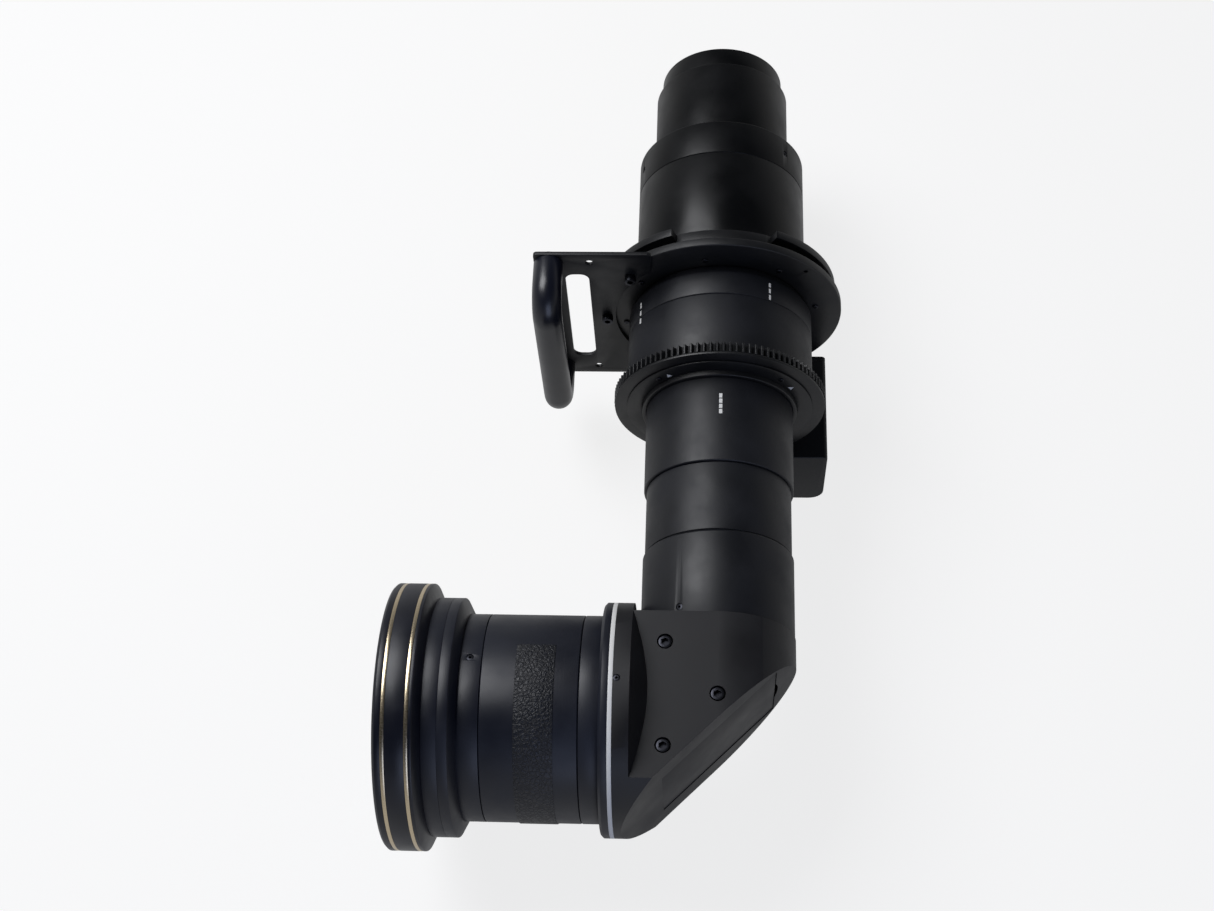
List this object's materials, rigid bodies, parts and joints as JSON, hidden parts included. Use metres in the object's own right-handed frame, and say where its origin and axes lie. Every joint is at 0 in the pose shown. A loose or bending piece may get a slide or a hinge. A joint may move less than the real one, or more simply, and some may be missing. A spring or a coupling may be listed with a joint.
{
  "type": "projection lens",
  "caption": "Black projection zoom lens folded by a mirror elbow, with a toothed motor-driven zoom ring, bayonet mount, mount disc and bow handle.",
  "frame": {"origin": "on the long axis, at the rear face of the bayonet lugs", "axes": "+Y along the long barrel towards the projector; the front barrel points along -X; +Z is square to both"},
  "size_m": [0.3183, 0.6497, 0.2254],
  "materials": {
    "black_anodised": "matte black anodised",
    "dark_anodised": "matte black anodised",
    "handle_black": "satin dark navy coating",
    "black_screws": "black oxide",
    "bright_steel": "turned and polished",
    "lens_glass": "coated optical glass",
    "mirror_silver": "front-silvered",
    "cam_brass": "turned",
    "white_inlay": "white enamel",
    "pale_gold": "satin pale gold",
    "grip_band": "leather-grain rubber",
    "housing_black": "fine-grain moulded",
    "gear_plastic": "natural acetal"
  },
  "bodies": {
    "lens_body": {"rear_tip": "black_anodised", "rear_glass": "lens_glass", "rear_retainer": "dark_anodised", "rear_tube": "black_anodised", "rear_collar": "black_anodised", "rear_barrel": "black_anodised", "bayonet_ring": "dark_anodised", "mount_disc": "black_anodised", "disc_screws": "bright_steel", "handle_plate": "dark_anodised", "plate_screws": "black_screws", "bow_handle": "handle_black", "handle_screws": "black_screws", "index_collar": "black_anodised", "outer_barrel": "black_anodised", "guide_sleeve": "dark_anodised", "guide_rods": "bright_steel", "slim_barrel": "black_anodised", "middle_barrel": "black_anodised", "lower_barrel": "black_anodised", "set_screws": "black_screws", "elbow_housing": "black_anodised", "elbow_screws": "black_screws", "mirror": "mirror_silver", "mirror_cover": "black_anodised", "inlay_ring": "white_inlay", "front_flange": "black_anodised", "front_core": "dark_anodised", "front_base": "black_anodised", "front_head": "black_anodised", "hood_collar": "black_anodised", "hood_ring": "black_anodised", "front_ring": "black_anodised", "gold_rings": "pale_gold", "front_glass": "lens_glass", "front_retainer": "dark_anodised", "motor_housing": "housing_black", "motor_cover": "housing_black", "motor": "bright_steel", "drive_shaft": "bright_steel", "housing_screws": "bright_steel", "housing_bolts": "bright_steel"},
    "zoom_drive_ring": {"zoom_ring": "dark_anodised", "index_disc": "dark_anodised", "index_screws": "bright_steel", "drive_key": "bright_steel", "cam_tube": "cam_brass"},
    "zoom_group": {"zoom_cell": "dark_anodised", "zoom_glass": "lens_glass", "zoom_pins": "bright_steel"},
    "compensator_group": {"compensator_cell": "dark_anodised", "compensator_glass": "lens_glass", "compensator_pins": "bright_steel"},
    "drive_wheel": {"drive_gear": "gear_plastic"},
    "motor_shaft": {"motor_pinion": "cam_brass"},
    "focus_grip": {"focus_ring": "black_anodised", "grip_band": "grip_band"},
    "focus_group": {"focus_cell": "dark_anodised", "focus_glass": "lens_glass", "focus_pins": "bright_steel"}
  },
  "joints": [
    {"name": "zoom_turn", "type": "hinge", "parent": "lens_body", "child": "zoom_drive_ring", "pos_m": [0, 0, 0], "axis": [0, 1, 0], "range_deg": [-56, 36]},
    {"name": "zoom_slide", "type": "slide", "parent": "lens_body", "child": "zoom_group", "axis": [0, 1, 0], "range_m": [-0.0122, 0.0079]},
    {"name": "compensator_slide", "type": "slide", "parent": "lens_body", "child": "compensator_group", "axis": [0, 1, 0], "range_m": [-0.0032, 0.0049]},
    {"name": "drive_spin", "type": "hinge", "parent": "lens_body", "child": "drive_wheel", "pos_m": [0.04506, -0.1015, -0.07964], "axis": [0, 1, 0], "range_deg": [-208.5, 324.5]},
    {"name": "motor_spin", "type": "hinge", "parent": "lens_body", "child": "motor_shaft", "pos_m": [0.05688, -0.093, -0.10053], "axis": [0, 1, 0], "range_deg": [-891, 573]},
    {"name": "focus_turn", "type": "hinge", "parent": "lens_body", "child": "focus_grip", "pos_m": [-0.12415, -0.3565, 0], "axis": [-1, 0, 0], "range_deg": [-25, 25]},
    {"name": "focus_slide", "type": "slide", "parent": "lens_body", "child": "focus_group", "axis": [-1, 0, 0], "range_m": [-0.00305, 0.00305]}
  ],
  "couplings": [
    {"joint": "zoom_slide", "follows": "zoom_turn", "m_per_rad": 0.012456},
    {"joint": "compensator_slide", "follows": "zoom_turn", "m_per_rad": -0.0049822},
    {"joint": "drive_spin", "follows": "zoom_turn", "ratio": -5.7778},
    {"joint": "motor_spin", "follows": "zoom_turn", "ratio": 15.889},
    {"joint": "focus_slide", "follows": "focus_turn", "m_per_rad": 0.0068755}
  ]
}
